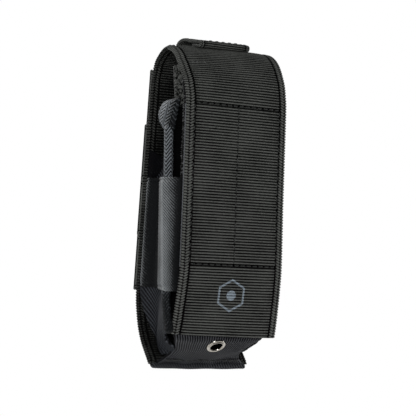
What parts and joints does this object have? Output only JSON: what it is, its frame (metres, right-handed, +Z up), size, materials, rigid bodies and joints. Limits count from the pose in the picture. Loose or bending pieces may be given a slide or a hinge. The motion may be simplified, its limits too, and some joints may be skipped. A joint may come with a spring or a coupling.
{
  "type": "multi tool sheath",
  "caption": "Upright nylon webbing sheath for a folding multi tool, with a hook-and-loop flap over the top, elastic side pockets, woven belt rows and a snapped strap at the back.",
  "frame": {"origin": "middle of the back face of the strap where it crosses over the second row of webbing, which is the face that rests against a belt or vest", "axes": "+X to the right when the flap is faced, +Y out of the back, toward the belt or vest, +Z up along the sheath"},
  "size_m": [0.062, 0.0486, 0.1511],
  "materials": {
    "webbing": "matt black ribbed nylon webbing",
    "binding": "herringbone nylon tape",
    "cloth": "black coated nylon cloth with a slight sheen",
    "elastic": "twill-faced elastic",
    "hook_and_loop": "hook-and-loop tape",
    "ink": "matt printed ink",
    "nickel": "bright nickel plate",
    "black_metal": "black painted snap cap"
  },
  "bodies": {
    "pouch": {"back_panel": "webbing", "front_panel": "webbing", "binding_end_left": "binding", "binding_end_right": "binding", "side_binding_left": "binding", "side_binding_right": "binding", "loop_patch": "hook_and_loop", "side_gusset_left": "cloth", "side_gusset_right": "cloth", "elastic_pocket_left": "elastic", "elastic_pocket_right": "elastic", "floor_panel": "cloth", "bottom_hem": "binding", "drain_eyelet": "nickel", "drain_washer": "nickel", "webbing_row_1": "webbing", "webbing_row_2": "webbing", "webbing_row_3": "webbing", "webbing_row_4": "webbing", "woven_strap": "webbing", "snap_stud": "nickel", "snap_post": "nickel"},
    "flap_top": {"flap_arch": "webbing", "strap_tab": "webbing"},
    "flap": {"flap_panel": "webbing", "hook_patch": "hook_and_loop", "printed_mark": "ink"},
    "tail": {"strap_tail": "webbing", "snap_cap": "black_metal", "snap_socket": "nickel"}
  },
  "joints": [
    {"name": "flap_rear_fold", "type": "hinge", "parent": "pouch", "child": "flap_top", "pos_m": [0, -0.0052, 0.04], "axis": [-1, 0, 0], "range_deg": [0, 90]},
    {"name": "flap_front_fold", "type": "hinge", "parent": "flap_top", "child": "flap", "pos_m": [0, -0.041, 0.03], "axis": [-1, 0, 0], "range_deg": [0, 90]},
    {"name": "tail_fold", "type": "hinge", "parent": "pouch", "child": "tail", "pos_m": [0, 0, -0.0381], "axis": [1, 0, 0], "range_deg": [0, 150]}
  ]
}
